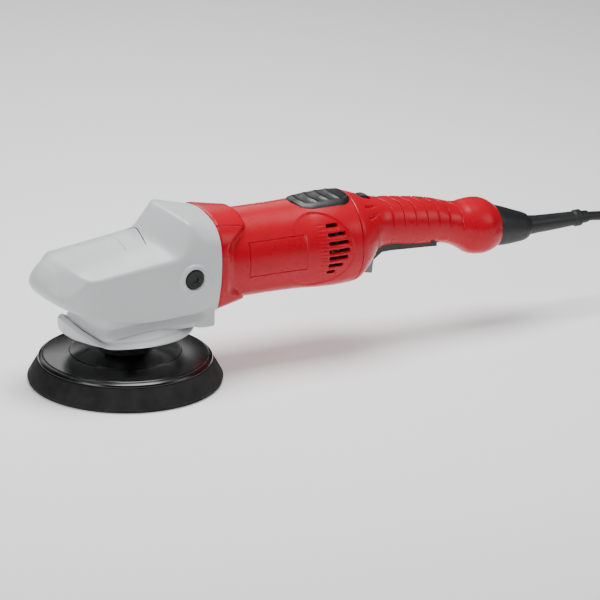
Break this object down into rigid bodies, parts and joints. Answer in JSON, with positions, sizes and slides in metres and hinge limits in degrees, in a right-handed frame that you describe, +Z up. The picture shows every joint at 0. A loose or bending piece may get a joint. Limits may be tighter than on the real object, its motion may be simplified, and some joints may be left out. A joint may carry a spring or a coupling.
{
  "type": "dual action polisher",
  "caption": "Corded dual action polisher for detailing: an orbiting round backing pad under a bevel gear head, a slim grip with a paddle switch and a speed dial, and a coiled mains cord.",
  "frame": {"origin": "where the spindle axis meets the backing pad's working face", "axes": "+X from the spindle towards the grip and the cord, +Z up along the spindle, +Y to the left of someone looking along +X"},
  "size_m": [0.6795, 0.1789, 0.138],
  "materials": {
    "satin_grey_paint": "satin light-grey coating over cast alloy",
    "grey_plastic": "satin light-grey moulded plastic",
    "red_plastic": "glossy red moulded plastic",
    "black_gloss": "glossy black moulded plastic",
    "black_plastic": "matte black moulded plastic",
    "foam": "matte black polyurethane foam",
    "hook_fabric": "black woven hook tape",
    "steel": "ground steel",
    "dark_steel": "oiled steel laminations",
    "screw_steel": "black oxide steel",
    "copper": "enamelled copper",
    "carbon": "pressed carbon",
    "brass": "plain brass",
    "nickel": "nickel plated brass",
    "rubber": "matte black rubber",
    "cord_rubber": "matte black rubber sheath",
    "lever_grey": "matte grey plastic",
    "label": "dark printed plate, blank",
    "board": "green laminate with a potted block"
  },
  "bodies": {
    "casing": {"gear_case": "satin_grey_paint", "housing_screws": "screw_steel", "spindle_bearing": "steel", "upper_bearing": "steel", "bearing_retainer": "steel", "retainer_screws": "screw_steel", "front_motor_bearing": "steel", "rear_motor_bearing": "steel", "head_cover": "grey_plastic", "boss_screws": "screw_steel", "motor_housing": "red_plastic", "label_plate": "label", "top_inlay": "black_plastic", "field_core": "dark_steel", "field_windings": "copper", "rear_bracket": "black_plastic", "brush_holders": "brass", "carbon_brushes": "carbon", "brush_springs": "steel", "handle_shell_right": "red_plastic", "handle_shell_left": "red_plastic", "handle_screws": "screw_steel", "paddle_pin": "steel", "switch_body": "black_plastic", "control_board": "board", "cord_guard": "rubber", "cord_clamp": "black_plastic", "cord_lead_in": "cord_rubber", "cord": "cord_rubber", "cord_tail": "cord_rubber", "cord_coil": "cord_rubber", "plug_body": "cord_rubber", "plug_pins": "nickel"},
    "armature": {"armature_shaft": "steel", "pinion": "dark_steel", "cooling_fan": "black_plastic", "armature_core": "dark_steel", "armature_windings": "copper", "commutator": "copper"},
    "spindle": {"eccentric_spindle": "steel", "pad_bearing": "steel", "counterweight": "steel", "crown_gear": "dark_steel"},
    "pad": {"pad_hook_disc": "hook_fabric", "pad_foam": "foam", "backing_plate": "black_gloss", "pad_journal": "steel"},
    "paddle": {"paddle": "black_plastic", "lever_pin": "steel"},
    "lock_lever": {"lock_lever": "lever_grey"},
    "dial": {"speed_dial": "black_plastic"},
    "spindle_lock": {"lock_button": "grey_plastic", "lock_pin": "steel"}
  },
  "joints": [
    {"name": "spindle_spin", "type": "hinge", "parent": "casing", "child": "spindle", "pos_m": [0, 0, 0.065], "axis": [0, 0, 1], "continuous": true},
    {"name": "armature_spin", "type": "hinge", "parent": "casing", "child": "armature", "pos_m": [0, 0, 0.0885], "axis": [1, 0, 0], "continuous": true},
    {"name": "pad_spin", "type": "hinge", "parent": "spindle", "child": "pad", "pos_m": [-0.0018, -0.0036, 0.04], "axis": [0, 0, 1], "continuous": true},
    {"name": "paddle_pivot", "type": "hinge", "parent": "casing", "child": "paddle", "pos_m": [0.256, 0, 0.078], "axis": [0, 1, 0], "range_deg": [0, 4.5], "stiffness_Nm_per_rad": 1.5, "springref_deg": -8.59},
    {"name": "lock_lever_pivot", "type": "hinge", "parent": "paddle", "child": "lock_lever", "pos_m": [0.207, 0, 0.073], "axis": [0, -1, 0], "range_deg": [0, 20], "stiffness_Nm_per_rad": 0.02, "springref_deg": -11.46},
    {"name": "dial_turn", "type": "hinge", "parent": "casing", "child": "dial", "pos_m": [0.1982, 0, 0.1122], "axis": [0, 1, 0], "range_deg": [0, 270]},
    {"name": "spindle_lock_press", "type": "slide", "parent": "casing", "child": "spindle_lock", "axis": [0, 0, -1], "range_m": [0, 0.0035], "stiffness_N_per_m": 900, "springref_m": -0.003}
  ],
  "couplings": [
    {"joint": "spindle_spin", "follows": "armature_spin", "ratio": 0.27778}
  ]
}
